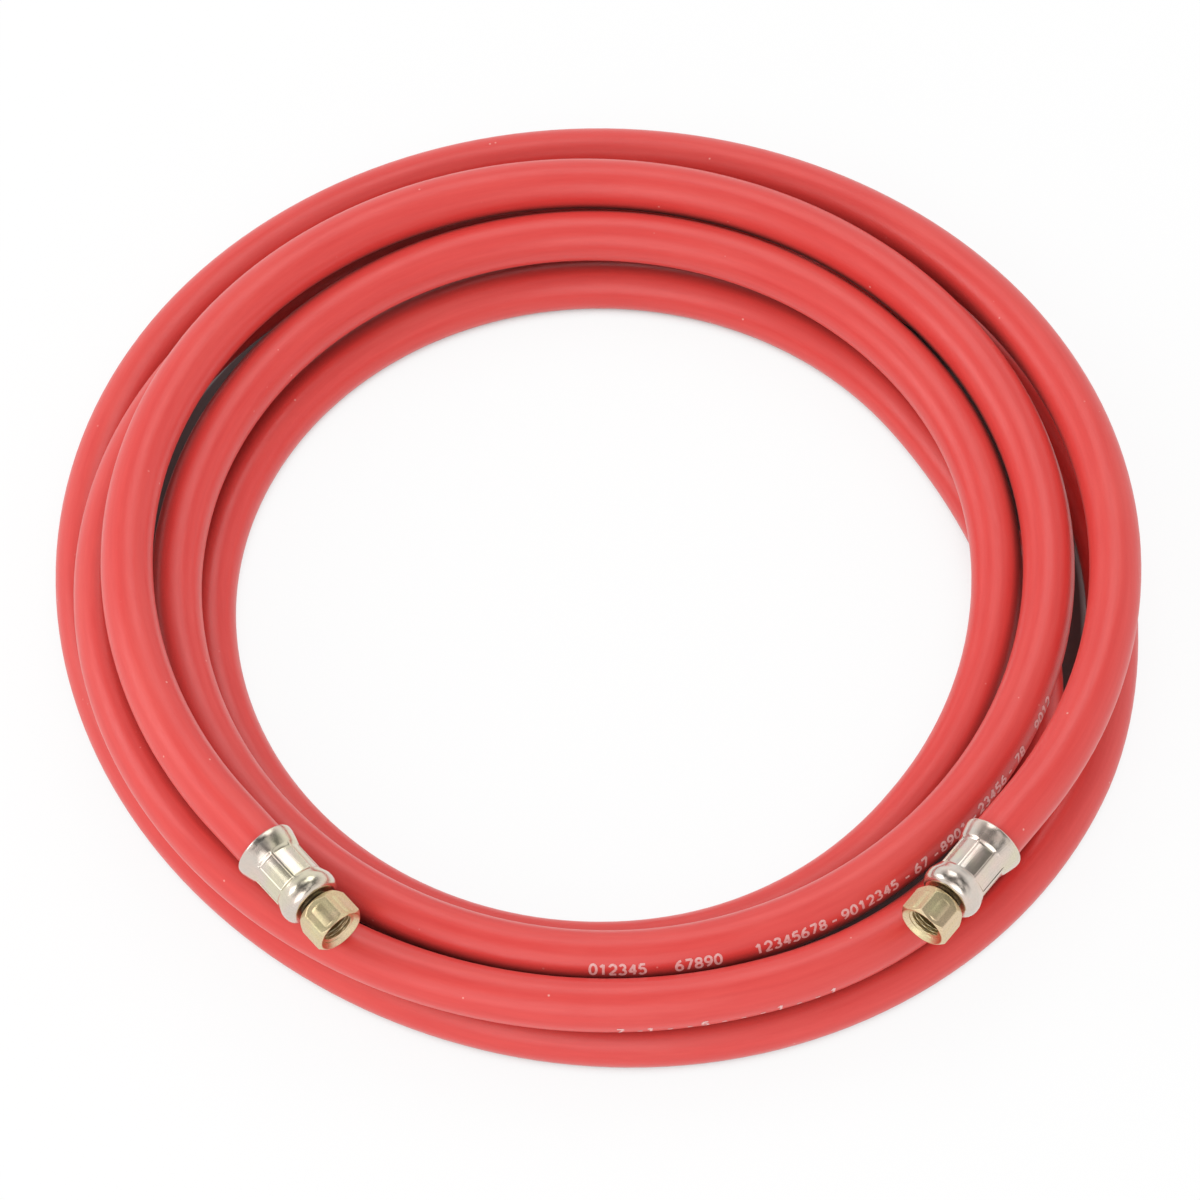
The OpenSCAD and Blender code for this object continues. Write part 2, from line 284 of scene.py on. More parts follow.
def finish(name, **sockets):
    """A material and its shader, with the plain values set on the shader's own sockets."""
    material = bpy.data.materials.new(name)
    material.use_nodes = True
    tree = material.node_tree
    shader = tree.nodes["Principled BSDF"]
    for key, value in sockets.items():
        shader.inputs[key.replace("_", " ")].default_value = value
    return material, tree, shader


# %% [markdown]
# Four small tools do most of the painting: a sum or product, a mix of two
# colours, a range moved to another range, and soft random values, which may be
# stretched along the surface.


# %% Paint tools
COLOUR_A, COLOUR_B, COLOUR_OUT = 6, 7, 2


def maths(tree, operation, *values):
    """One operation, such as ADD or MAXIMUM, on two or three values."""
    sockets = {f"i{k}": value for k, value in enumerate(values)}
    return node(tree, "ShaderNodeMath", {"operation": operation}, **sockets).outputs[0]


def blend_colours(tree, factor, first, second):
    """Mix of two colours by a factor; a plain colour gets a fourth number, 1."""
    mix = node(tree, "ShaderNodeMix", {"data_type": "RGBA"}, Factor=factor)
    for number, value in ((COLOUR_A, first), (COLOUR_B, second)):
        plug(tree, mix.inputs[number], (*value, 1) if isinstance(value, tuple) else value)
    return mix.outputs[COLOUR_OUT]


def between(tree, value, low, high, to_low=0.0, to_high=1.0):
    """A value's range moved to another range, and held inside it."""
    ends = {"From_Min": low, "From_Max": high, "To_Min": to_low, "To_Max": to_high}
    return node(tree, "ShaderNodeMapRange", Value=value, **ends).outputs[0]


def stretched(tree, coordinates, scale):
    """Coordinates stretched by a scale on each axis."""
    return node(tree, "ShaderNodeMapping", Vector=coordinates, Scale=scale).outputs[0]


def noise(tree, coordinates, scale, detail=3.0, rough=0.5):
    """Soft random values from 0 to 1."""
    sockets = {"Scale": scale, "Detail": detail, "Roughness": rough}
    return node(tree, "ShaderNodeTexNoise", Vector=coordinates, **sockets).outputs[0]


# %% [markdown]
# ## Red rubber
# The cover is extruded, so its faint streaks and dull bands run lengthwise, and
# handling leaves pale specks and scuffs. A flat red would look like plastic. The
# streaks follow the surface map, which is in metres along the hose and in turns
# around it, and the specks are small random cells. The creases between the laps,
# which an ambient occlusion node finds, are darkened with painted shade.

# %% Red rubber's colour
DEEP_RED, BRIGHT_RED = (0.690, 0.050, 0.044), (0.735, 0.062, 0.054)
DULL_RED, DUST_PINK, CREASE_SHADE_BROWN = (0.80, 0.145, 0.118), (0.80, 0.33, 0.29), (0.13, 0.035, 0.032)
STREAKS, BANDS, SCUFFS = (30.0, 26.0, 1.0), (13.0, 3.2, 1.0), (90.0, 14.0, 1.0)
CREASE_REACH = 0.02
cover_rubber, tree, shader = finish(
    "cover_rubber", Sheen_Weight=0.06, Sheen_Roughness=0.35, Specular_IOR_Level=0.55,
    Sheen_Tint=(1.0, 0.78, 0.74, 1))
where = node(tree, "ShaderNodeTexCoord").outputs
streaks = noise(tree, stretched(tree, where["UV"], STREAKS), 1.0, 4.0, 0.6)
bands = noise(tree, stretched(tree, where["UV"], BANDS), 1.0, 4.0, 0.6)
red = blend_colours(tree, between(tree, streaks, 0.32, 0.68), DEEP_RED, BRIGHT_RED)
red = blend_colours(tree, between(tree, bands, 0.50, 0.78, 0.0, 0.22), red, DULL_RED)
cells = node(tree, "ShaderNodeTexVoronoi", Vector=where["Object"], Scale=150.0)
speck = between(tree, cells.outputs["Distance"], 0.035, 0.075, 1.0, 0.0)
rare = between(tree, noise(tree, where["Object"], 45.0, 2.0), 0.54, 0.60)
red = blend_colours(tree, maths(tree, "MULTIPLY", speck, rare), red, DUST_PINK)
# Painted shade: the red goes dark brown where the laps nearly touch.
crease = node(tree, "ShaderNodeAmbientOcclusion", {"samples": 6}, Distance=CREASE_REACH)
painted_crease_shade = between(tree, crease.outputs["AO"], 0.12, 0.50, 0.8, 0.0)
tree.links.new(blend_colours(tree, painted_crease_shade, red, CREASE_SHADE_BROWN), shader.inputs["Base Color"])
print("red rubber between", DEEP_RED, "and", BRIGHT_RED)

# %% [markdown]
# The same bands also change the gloss, together with short scuffs, and a fine
# grain is raised a little with them.

# %% Red rubber's gloss and grain
scuffs = noise(tree, stretched(tree, where["UV"], SCUFFS), 1.0, 4.0, 0.7)
worn = maths(tree, "ADD", bands, scuffs)
tree.links.new(between(tree, worn, 0.8, 1.25, 0.31, 0.42), shader.inputs["Roughness"])
grain = noise(tree, where["Object"], 700.0, 1.0, 0.5)
skin = maths(tree, "MULTIPLY_ADD", bands, 0.5, grain)
bump = node(tree, "ShaderNodeBump", Strength=0.10, Distance=0.00030, Height=skin)
tree.links.new(bump.outputs[0], shader.inputs["Normal"])
print("cover_rubber:", len(tree.nodes), "nodes")

# %% [markdown]
# ## Black rubber, white yarn and ink
# The liner and the braid are hidden inside the wall, but they are there when the
# model is taken apart. The braid's two sets of yarns cross as diagonals on the
# surface map. The ink is a thin white print, worn to pink where the red rubber
# shows through it.

# %% Hidden layers and ink
WHITE_YARN, SHADED_YARN = (0.80, 0.79, 0.75, 1), (0.52, 0.51, 0.48, 1)
PALE_INK, WORN_INK = (0.84, 0.52, 0.50), (0.74, 0.22, 0.21)
YARNS, DIAGONAL = (400.0, 12.0, 1.0), 0.785
liner_rubber, tree, shader = finish("liner_rubber", Base_Color=(0.02, 0.02, 0.021, 1), Roughness=0.6)
dull = noise(tree, node(tree, "ShaderNodeTexCoord").outputs["Object"], 600.0)
tree.links.new(between(tree, dull, 0.2, 0.8, 0.5, 0.7), shader.inputs["Roughness"])

braid_yarn, tree, shader = finish("braid_yarn", Roughness=0.85)
flat_map = node(tree, "ShaderNodeTexCoord").outputs["UV"]
crossed = node(tree, "ShaderNodeMapping", Vector=flat_map, Scale=YARNS, Rotation=(0, 0, DIAGONAL))
weave = node(
    tree, "ShaderNodeTexChecker", Vector=crossed.outputs[0], Scale=1.0,
    Color1=WHITE_YARN, Color2=SHADED_YARN)
tree.links.new(weave.outputs[0], shader.inputs["Base Color"])

ink, tree, shader = finish("white_ink", Roughness=0.55)
worn = noise(tree, node(tree, "ShaderNodeTexCoord").outputs["Object"], 900.0, 4.0, 0.7)
thin = between(tree, worn, 0.42, 0.62, 0.0, 0.55)
tree.links.new(blend_colours(tree, thin, PALE_INK, WORN_INK), shader.inputs["Base Color"])
print("finishes so far:", cover_rubber.name, liner_rubber.name, braid_yarn.name, ink.name)

# %% [markdown]
# ## Zinc plate
# The ferrules are bright zinc with a faint rainbow from passivation: warm pink
# in some places and straw in others. The nuts have a yellow passivation, with a
# coarser grain. Both are metal, with roughness that varies in cloudy patches and
# with fine tool marks along the fitting.


# %% Zinc plate
def zinc(name, cool, warm, straw, smooth, rough, marks, grain):
    """Metal whose tint wanders between three colours, with lengthwise tool marks and a grain."""
    material, tree, shader = finish(name, Metallic=1.0)
    where = node(tree, "ShaderNodeTexCoord").outputs
    clouds = noise(tree, where["Object"], 110.0, 2.0, 0.5)
    drift = noise(tree, where["Object"], 75.0, 2.0, 0.5)
    pits = noise(tree, where["Object"], 2600.0, 2.0, 0.6)
    lines = noise(tree, stretched(tree, where["UV"], (2.5, 160.0, 1.0)), 1.0, 4.0, 0.6)
    in_line, in_pit = (tuple(share * c for c in cool) for share in (0.6, 0.45))
    colour = blend_colours(tree, between(tree, clouds, 0.32, 0.68), cool, warm)
    colour = blend_colours(tree, between(tree, drift, 0.48, 0.66), colour, straw)
    colour = blend_colours(tree, between(tree, lines, 0.5, 0.8, 0.0, 0.22), colour, in_line)
    colour = blend_colours(tree, between(tree, pits, 0.40, 0.70, 0.0, grain), colour, in_pit)
    tree.links.new(colour, shader.inputs["Base Color"])
    tree.links.new(between(tree, clouds, 0.3, 0.7, smooth, rough), shader.inputs["Roughness"])
    relief = maths(tree, "MULTIPLY_ADD", pits, grain, lines)
    bump = node(tree, "ShaderNodeBump", Strength=marks, Distance=0.00012, Height=relief)
    tree.links.new(bump.outputs[0], shader.inputs["Normal"])
    return material


zinc_steel = zinc(
    "zinc_steel", cool=(0.66, 0.61, 0.55), warm=(0.80, 0.64, 0.56), straw=(0.73, 0.67, 0.51),
    smooth=0.15, rough=0.29, marks=0.25, grain=0.15)
yellow_zinc = zinc(
    "yellow_zinc_steel", cool=(0.76, 0.63, 0.36), warm=(0.84, 0.64, 0.44), straw=(0.82, 0.73, 0.43),
    smooth=0.27, rough=0.40, marks=0.40, grain=0.45)
# The insert's steel is painted dark, as painted shade for the gap behind the nut.
insert_steel = zinc(
    "insert_steel", cool=(0.22, 0.20, 0.15), warm=(0.26, 0.22, 0.16), straw=(0.27, 0.25, 0.17),
    smooth=0.3, rough=0.45, marks=0.2, grain=0.2)
print("metal finishes:", zinc_steel.name, yellow_zinc.name, insert_steel.name)

# %% [markdown]
# ## The hose
# The hose is swept: at each point of its line a ring stands square to it. The
# side direction is level, so a mark on the hose keeps its place round the coil,
# as it does on a hose that was coiled without twist. The line is sampled about
# every two degrees of turn, and at chosen stations in each ferrule and on the
# straight stretch behind it. Inside the ferrule the crimp squeezes the cover. A
# station is a distance in from the ferrule's rear rim.

# %% The hose's line
LINE_POINTS = 861
CRIMPED_D = 16.62
HOSE_STOP = 24.0
SQUEEZE_FROM, SQUEEZE_TO = 6.5, 9.0
right_rim, right_axes = FITTINGS["right"]
left_rim, left_axes = FITTINGS["left"]
curve_angles = np.linspace(TURN_FROM, TURN_TO, LINE_POINTS)
inside = np.array([HOSE_STOP, 18.0, 12.0, SQUEEZE_TO, SQUEEZE_FROM, 3.0, 0.0, -5.0, -11.0])
hose_path = np.concatenate([
    right_rim + inside[:, None] * right_axes[2],
    hose_line(curve_angles),
    left_rim + inside[::-1, None] * left_axes[2]])
station = np.concatenate([inside, np.full(LINE_POINTS, -STRAIGHT), inside[::-1]])
hose_run = np.append(0, np.cumsum(np.linalg.norm(np.diff(hose_path, axis=0), axis=1)))
squeezed = np.clip((station - SQUEEZE_FROM) / (SQUEEZE_TO - SQUEEZE_FROM), 0, 1)
cover_r = HOSE_D / 2 + (CRIMPED_D - HOSE_D) / 2 * squeezed
print(f"hose length {hose_run[-1]:.1f} mm, with {len(hose_path)} points on its line")

# %% [markdown]
# A layer is one closed surface: its rows run along the outside to the far end
# and back along the inside. Where the lowest lap lies, the rubber is pressed
# flat against the floor.


# %% Sweep helper
def ring_axes(path):
    """Level side direction and upward direction of each ring, square to the path."""
    way = np.gradient(path, axis=0)
    way /= np.linalg.norm(way, axis=1, keepdims=True)
    side = np.cross(way, [0, 0, 1.0])
    side /= np.linalg.norm(side, axis=1, keepdims=True)
    return side, np.cross(side, way)


hose_side, hose_up = ring_axes(hose_path)


def sweep(radius, columns):
    """path + r (side cos t + up sin t), with t from the underside, and never below the floor."""
    t = np.linspace(-np.pi / 2, 3 * np.pi / 2, columns, endpoint=False)[:, None]
    radius = np.broadcast_to(radius, len(hose_path))[:, None, None]
    circles = hose_side[:, None] * np.cos(t) + hose_up[:, None] * np.sin(t)
    grid = hose_path[:, None] + radius * circles
    grid[..., 2] = np.maximum(grid[..., 2], 0)
    return grid


def layer(name, outer_r, inner_r, columns):
    """Outside rows, then inside rows backwards, closed at both ends."""
    grid = np.concatenate([sweep(outer_r, columns), sweep(inner_r, columns)[::-1]])
    return surface(name, grid, np.concatenate([hose_run, hose_run[::-1]]) * MM)


# %% Sweep the layers
cover = layer("hose_cover_rubber", cover_r, braid_r + LAYER_GAP, columns=40)
braid = layer("hose_braid_yarn", braid_r, liner_r + LAYER_GAP, columns=16)
liner = layer("hose_liner_rubber", liner_r, BORE_D / 2, columns=16)
for piece, material, solid in (
        (cover, cover_rubber, "hose_cover"),
        (braid, braid_yarn, "hose_braid"),
        (liner, liner_rubber, "hose_liner")):
    piece.data.materials.append(material)
    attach(piece, "hose")
    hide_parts(solid)

# %% [markdown]
# ## Plain numbers printed on the hose
# Such hoses carry a printed line. Here it is only counting digits, drawn as pen
# strokes: each stroke is a line or part of an ellipse in a box one unit high.
# A line has its two ends, and an arc its middle, its two radii, and the angles
# where it starts and ends. The strokes become thin ribbons laid on the rubber,
# with their width across the stroke and their place given by length along the
# hose and angle round it.

# %% Pen strokes
STROKES = {
    "0": [("arc", 0.3, 0.5, 0.27, 0.47, 0, 360)],
    "1": [("line", 0.08, 0.75, 0.34, 0.97), ("line", 0.34, 0.97, 0.34, 0.03)],
    "2": [("arc", 0.3, 0.68, 0.26, 0.29, 165, -35),
          ("line", 0.51, 0.51, 0.05, 0.05), ("line", 0.05, 0.05, 0.58, 0.05)],
    "3": [("arc", 0.28, 0.73, 0.22, 0.23, 155, -90), ("arc", 0.28, 0.27, 0.26, 0.24, 90, -155)],
    "4": [("line", 0.44, 0.03, 0.44, 0.95),
          ("line", 0.44, 0.95, 0.03, 0.33), ("line", 0.03, 0.33, 0.62, 0.33)],
    "5": [("line", 0.54, 0.95, 0.12, 0.95), ("line", 0.12, 0.95, 0.08, 0.55),
          ("arc", 0.28, 0.33, 0.27, 0.29, 135, -145)],
    "6": [("arc", 0.3, 0.31, 0.26, 0.27, 0, 360), ("arc", 0.62, 0.33, 0.58, 0.64, 105, 180)],
    "7": [("line", 0.04, 0.95, 0.57, 0.95), ("line", 0.57, 0.95, 0.2, 0.03)],
    "8": [("arc", 0.3, 0.74, 0.22, 0.21, 0, 360), ("arc", 0.3, 0.27, 0.26, 0.24, 0, 360)],
    "9": [("arc", 0.3, 0.69, 0.26, 0.27, 0, 360), ("arc", -0.02, 0.67, 0.58, 0.64, -75, 0)],
    "-": [("line", 0.1, 0.42, 0.5, 0.42)],
}
STROKE_POINTS, NIB = 17, 0.21


def stroke_line(kind, *numbers):
    """Points of a straight line, or of an ellipse between two angles."""
    share = np.linspace(0, 1, STROKE_POINTS)[:, None]
    if kind == "line":
        return np.array(numbers[:2]) * (1 - share) + np.array(numbers[2:]) * share
    x, y, rx, ry, start, end = numbers
    t = np.radians(start + (end - start) * share)
    return np.concatenate([x + rx * np.cos(t), y + ry * np.sin(t)], 1)


def ribbon(line):
    """A band of the nib's width: line + square direction x -w, 0 and w."""
    way = np.gradient(line, axis=0)
    square = np.stack([-way[:, 1], way[:, 0]], 1) / np.linalg.norm(way, axis=1, keepdims=True)
    return line[:, None] + square[:, None] * np.array([-1, 0, 1])[:, None] * NIB / 2


print("strokes in each character:", {letter: len(drawn) for letter, drawn in STROKES.items()})

# %% [markdown]
# A ribbon is three points wide, so its quads join each point to the next one
# across and the next one along. A word has its distance from the line's start,
# in millimetres, and the line slowly drifts round the hose on its way.


# %% Digits on the rubber
DIGIT_HEIGHT, DIGIT_PITCH, INK_LIFT = 4.1, 3.25, 0.05
ACROSS = 3


def on_rubber(along, round_angle, lift):
    """A point on the cover: middle line + (r + lift) (side cos t + up sin t)."""
    columns = (*hose_path.T, *hose_side.T, *hose_up.T)
    spots = [np.interp(along, hose_run, column) for column in columns]
    line, side, up = (np.stack(spots[k:k + 3], -1) for k in (0, 3, 6))
    t = round_angle[..., None]
    return line + (HOSE_D / 2 + lift) * (side * np.cos(t) + up * np.sin(t))


def print_digits(name, words, start_angle, base_angle, drift):
    """Each word's strokes, from its own distance on; drift is in degrees a millimetre."""
    coil_run = hose_run[len(inside):len(inside) + LINE_POINTS]
    start = np.interp(start_angle, curve_angles, coil_run)
    characters = [
        (far + k * DIGIT_PITCH, letter) for far, word in words for k, letter in enumerate(word)]
    stroke_corners = (ACROSS * np.arange(STROKE_POINTS - 1)[:, None] + np.arange(ACROSS - 1)).ravel()
    points, faces = [], []
    for far, letter in characters:
        for stroke in STROKES.get(letter, ()):
            flat = ribbon(stroke_line(*stroke)) * DIGIT_HEIGHT
            turn = np.radians(base_angle + drift * far) + flat[..., 1] / (HOSE_D / 2)
            spots = on_rubber(start + far + flat[..., 0], turn, INK_LIFT)
            corner = STROKE_POINTS * ACROSS * len(points) + stroke_corners
            points.append(spots.reshape(-1, 3))
            faces.append(np.stack([corner, corner + ACROSS, corner + ACROSS + 1, corner + 1], 1))
    mesh = bpy.data.meshes.new(name)
    mesh.from_pydata((np.concatenate(points) * MM).tolist(), [], np.concatenate(faces).tolist())
    mesh.shade_smooth()
    mesh.materials.append(ink)
    piece = bpy.data.objects.new(name, mesh)
    bpy.context.scene.collection.objects.link(piece)
    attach(piece, "hose")
    print(f"{name}: {len(characters)} characters in {len(points)} strokes")
    return piece


# %% Print the two lines
LINE_WORDS = [
    (0, "012345"), (28.5, "67890"), (55.5, "12345678"), (82.5, "-"), (86.8, "9012345"),
    (111.6, "-"), (116.2, "67"), (124.4, "-"), (128.2, "8901"), (143.4, "-"), (147.2, "23456"),
    (164.3, "-"), (169.7, "78"), (184.2, "9012")]
EDGE_WORDS = [(0, "7 -"), (10, "1 - -"), (28, "5 - - -"), (53.5, "1 - -"), (72, "1")]
print_line = print_digits(
    "counting_digits", LINE_WORDS, start_angle=1348.7, base_angle=21, drift=-0.10)
print_edge = print_digits(
    "counting_digits_edge", EDGE_WORDS, start_angle=631.7, base_angle=-25, drift=0.07)

# %% [markdown]
# ## Ferrules
# A ferrule is a thin steel sleeve that is pressed onto the hose in jaws. Its
# section is drawn once, as a closed outline of radius and station, and turned
# round the axis.


# %% Outline helpers
def resampled(outline, spacing, rounds=2):
    """Corners cut at a quarter and three quarters, then points at an even spacing."""
    outline = np.array(outline, float)
    for _ in range(rounds):
        after = np.roll(outline, -1, 0)
        cut = [0.75 * outline + 0.25 * after, 0.25 * outline + 0.75 * after]
        outline = np.stack(cut, 1).reshape(-1, 2)
    closed = np.concatenate([outline, outline[:1]])
    run = np.append(0, np.cumsum(np.linalg.norm(np.diff(closed, axis=0), axis=1)))
    even = np.arange(0, run[-1], spacing)
    return np.stack([np.interp(even, run, closed[:, 0]), np.interp(even, run, closed[:, 1])], 1)


def turned_grid(radius, height, angles):
    """x = r cos t, y = r sin t, z = height; radius may change with angle."""
    radius = np.broadcast_to(radius, (len(height), len(angles)))
    heights = np.broadcast_to(height[:, None], radius.shape)
    return np.stack([radius * np.cos(angles), radius * np.sin(angles), heights], -1)


# %% [markdown]
# Eight jaws press the waist down, and the metal that squeezes up between them
# stays as eight narrow ribs, so the waist's radius follows the angle: a nearly
# flat stretch under each jaw and a step up to each rib. The columns of the grid
# stand close together at the ribs, where the shape changes.

# %% Ferrule's outline
FERRULE = [
    (9.55, 0.35), (9.9, 0.05), (10.9, 0.0), (11.35, 0.05), (11.5, 0.3), (11.5, 1.0),
    (11.42, 1.9), (11.1, 3.2), (10.65, 5.0), (10.1, 6.6), (9.78, 7.6), (9.7, 8.4),
    (9.7, 12.0), (9.7, 16.0), (9.7, 18.8), (9.75, 19.6), (10.1, 20.8), (10.65, 22.2),
    (10.95, 23.3), (11.0, 24.2), (10.95, 25.2), (10.6, 26.5), (9.9, 27.6), (8.9, 28.25),
    (8.0, 28.4), (6.6, 28.4), (6.0, 28.4), (5.8, 28.1), (5.3, 27.8), (4.6, 27.8),
    (4.4, 27.75), (4.36, 27.5), (4.36, 26.4), (4.4, 26.05), (4.6, 26.0), (8.2, 26.0),
    (8.35, 25.9), (8.35, 25.0), (8.35, 10.0), (8.36, 9.2), (9.1, 7.0), (9.3, 6.3),
    (9.3, 5.0), (9.3, 1.0), (9.4, 0.6)]
JAWS = 8
JAW_ANGLE = 360 / JAWS
RIB_SIDE = np.array([1.5, 2.5, 3.1, 3.6])
under_jaw = np.linspace(-18.4, 18.4, 15)
over_rib = JAW_ANGLE / 2 + np.concatenate([-RIB_SIDE[::-1], [0], RIB_SIDE])
SECTOR = np.concatenate([under_jaw, over_rib])
print(JAWS, "jaws, with", len(SECTOR), "columns each")


# %% Ferrules
PRESSED_R, JAW_HOLLOW, RIB_RISE = 9.21, 0.13, 0.34
JAW_EDGE, RIB_FOOT, RIB_TOP = 18, 18.6, 20.4
WAIST_START, WAIST_END = (6.4, 8.0), (18.9, 20.1)
SLEEVE_INSIDE_R = 9.35
MAP_SCALE = 10 * MM


def ferrule(side, crimp_turn):
    """Turned outline; the waist is held below the jaws' face, which steps up at each rib."""
    outline = resampled(FERRULE, 0.22)
    columns = crimp_turn + np.arange(JAWS)[:, None] * JAW_ANGLE + JAW_ANGLE / 2 + SECTOR
    angles = np.radians(columns.ravel())
    radius, height = outline[:, 0][:, None], outline[:, 1]
    from_jaw = abs((np.degrees(angles) - crimp_turn) % JAW_ANGLE - JAW_ANGLE / 2)
    hollow = JAW_HOLLOW * (from_jaw / JAW_EDGE) ** 2
    pressed = PRESSED_R + hollow + RIB_RISE * ease(from_jaw, RIB_FOOT, RIB_TOP)
    waist = ease(height, *WAIST_START) * (1 - ease(height, *WAIST_END))
    jaws = waist * (outline[:, 0] > SLEEVE_INSIDE_R)
    radius = radius - jaws[:, None] * np.maximum(0, radius - pressed)
    grid = place(turned_grid(radius, height, angles), side)
    around = np.append(angles, angles[0] + 2 * np.pi) / (2 * np.pi)
    piece = surface(f"ferrule_{side}_shell", grid, height * MAP_SCALE, around, sharp=28)
    piece.data.materials.append(zinc_steel)
    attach(piece, "hose")
    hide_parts(f"ferrule_{side}")
    return piece


ferrules = {"right": ferrule("right", 11), "left": ferrule("left", 10)}

# %% [markdown]
# ## Swivel nuts
# The nut is turned and milled: a turned outline with chamfers, held inside a
# hexagon 17 mm across flats, whose edges are a little soft and worn at the
# corners. The thread is real: inside the mouth the radius follows a wave along
# the axis that moves on by one pitch for each turn, which makes a screw of the
# standard 1.337 mm pitch.

# %% Nut's outline
NUT = [
    (5.05, 30.3), (5.05, 30.1), (5.2, 30.0), (6.5, 30.0), (7.8, 30.0), (8.15, 30.05),
    (8.5, 30.6), (9.2, 31.7), (9.85, 32.8), (9.95, 33.3), (9.95, 36.0), (9.95, 40.4),
    (9.9, 40.9), (9.2, 41.55), (8.6, 42.1), (8.45, 42.2), (8.3, 42.2), (8.2, 42.2),
    (8.1, 42.14), (7.5, 41.6), (6.75, 40.95), (6.62, 40.8), (6.58, 40.6), (6.58, 38.8),
    (6.58, 36.9), (6.6, 36.5), (6.6, 34.0), (6.6, 32.8), (6.5, 32.6), (5.3, 32.6),
    (5.1, 32.55), (5.05, 32.4)]
HALF_FLATS, MOUTH_R = 8.5, 8.05
CORNER_WEAR, CORNER_WIDTH, EDGE_SOFTNESS = 0.10, 1.2, 0.04
PITCH, THREAD_DEPTH, CREST_POWER = 1.337, 0.86, 1.3
THREAD_START, THREAD_END, THREAD_OUTSIDE_R = (36.5, 37.3), (40.5, 41.1), 7.2
NUT_COLUMNS = 240
print("thread pitch", PITCH, "mm, depth", THREAD_DEPTH, "mm")


# %% Nuts
def hexagon_held(radius, angles, nut_turn):
    """Soft minimum of radius and hexagon: r - s log(1 + exp((r - hexagon) / s))."""
    from_flat = (np.degrees(angles) - nut_turn) % 60 - 30
    worn = CORNER_WEAR * np.exp(-((abs(from_flat) - 30) / CORNER_WIDTH) ** 2)
    hexagon = HALF_FLATS / np.cos(np.radians(from_flat)) - worn
    gap = np.clip((hexagon - radius) / EDGE_SOFTNESS, -30, 30)
    return np.where(radius > MOUTH_R, radius - EDGE_SOFTNESS * np.log1p(np.exp(-gap)), radius)


def thread_crest(radius, height, angles):
    """Depth x (half of 1 + cos(height / pitch - turn)) to a power, between the thread's ends."""
    phase = height[:, None] / PITCH - angles / (2 * np.pi)
    crest = THREAD_DEPTH * (0.5 + 0.5 * np.cos(2 * np.pi * phase)) ** CREST_POWER
    threaded = ease(height, *THREAD_START) * (1 - ease(height, *THREAD_END))
    return (threaded * (radius < THREAD_OUTSIDE_R))[:, None] * crest


def swivel_nut(side, nut_turn):
    """Turned outline, held inside the hexagon, less the thread's crests."""
    outline = resampled(NUT, 0.13, 1)
    angles = np.radians(nut_turn + np.arange(NUT_COLUMNS) * (360 / NUT_COLUMNS))
    height = outline[:, 1]
    radius = hexagon_held(outline[:, 0][:, None], angles, nut_turn)
    radius = radius - thread_crest(outline[:, 0], height, angles)
    grid = place(turned_grid(radius, height, angles), side)
    piece = surface(f"swivel_nut_{side}_hexagon", grid, height * MAP_SCALE, sharp=22)
    piece.data.materials.append(yellow_zinc)
    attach(piece, f"nut_{side}")
    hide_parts(f"swivel_nut_{side}")
    return piece


nuts = {"right": swivel_nut("right", 9), "left": swivel_nut("left", 52)}

# %% [markdown]
# ## Inserts
# The insert's solid already has its barbs, groove, neck and cone, and only its
# cone shows inside the mouth. It stays, and gets a steel finish painted dark, as
# painted shade for the deep gap between the ferrule's collar and the nut.

# %% Inserts
for side in ("right", "left"):
    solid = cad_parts[f"insert_{side}"]
    for slot_of_solid in solid.material_slots:
        slot_of_solid.material = insert_steel

# %% [markdown]
# ## The hose as a hose
# It leaves the right fitting and ends in the left one.

print("the hose leaves the right fitting and ends in the left one")

# %% [markdown]
# ## Paper floor
# The floor is white paper. The camera sees it as plain white wherever the sky is
# open above it, which an ambient occlusion node finds, and its true shading
# stays mixed in, so that the coil keeps a soft shadow. In a ring under the laps,
# where light hardly reaches, the paper's colour is darkened with painted shade.
# The lengths here are in metres.


# %% Paper
RING_INSIDE, RING_OUTSIDE = (0.148, 0.152), (0.174, 0.178)
PAINTED_SHADE_PAPER, PALE_PAPER = (0.14, 0.11, 0.11), (0.9, 0.9, 0.9)
SKY_REACH = 0.06


def seen_directly(tree):
    """1 for rays from the camera, from a mirror or through glass, else 0."""
    rays = node(tree, "ShaderNodeLightPath").outputs
    seen = maths(tree, "MAXIMUM", rays["Is Camera Ray"], rays["Is Glossy Ray"])
    return maths(tree, "MAXIMUM", seen, rays["Is Transmission Ray"])


white_paper, tree, shader = finish("white_paper", Roughness=0.9)
spot = node(tree, "ShaderNodeTexCoord").outputs["Object"]
coil_middle = (-middle[0] * MM, -middle[1] * MM, 0)
distance = node(tree, "ShaderNodeVectorMath", {"operation": "DISTANCE"}, i0=spot, i1=coil_middle)
far = distance.outputs["Value"]
clear = maths(
    tree, "MAXIMUM", between(tree, far, *RING_OUTSIDE), between(tree, far, *RING_INSIDE, 1.0, 0.0))
# Painted shade: the paper's colour is dark in the ring under the laps.
paper = blend_colours(tree, clear, PAINTED_SHADE_PAPER, PALE_PAPER)
tree.links.new(paper, shader.inputs["Base Color"])
open_sky = node(tree, "ShaderNodeAmbientOcclusion", {"samples": 12}, Distance=SKY_REACH)
lit = between(tree, open_sky.outputs["AO"], 0.16, 0.44, 0.0, 0.9)
share = maths(tree, "MULTIPLY", seen_directly(tree), maths(tree, "MULTIPLY", lit, clear))
glow = node(tree, "ShaderNodeEmission", Color=(1, 1, 1, 1), Strength=1.0)
mix = node(tree, "ShaderNodeMixShader", i0=share, i1=shader.outputs[0], i2=glow.outputs[0])
tree.links.new(mix.outputs[0], tree.nodes["Material Output"].inputs[0])
print("paper round", coil_middle, "with", len(tree.nodes), "nodes")

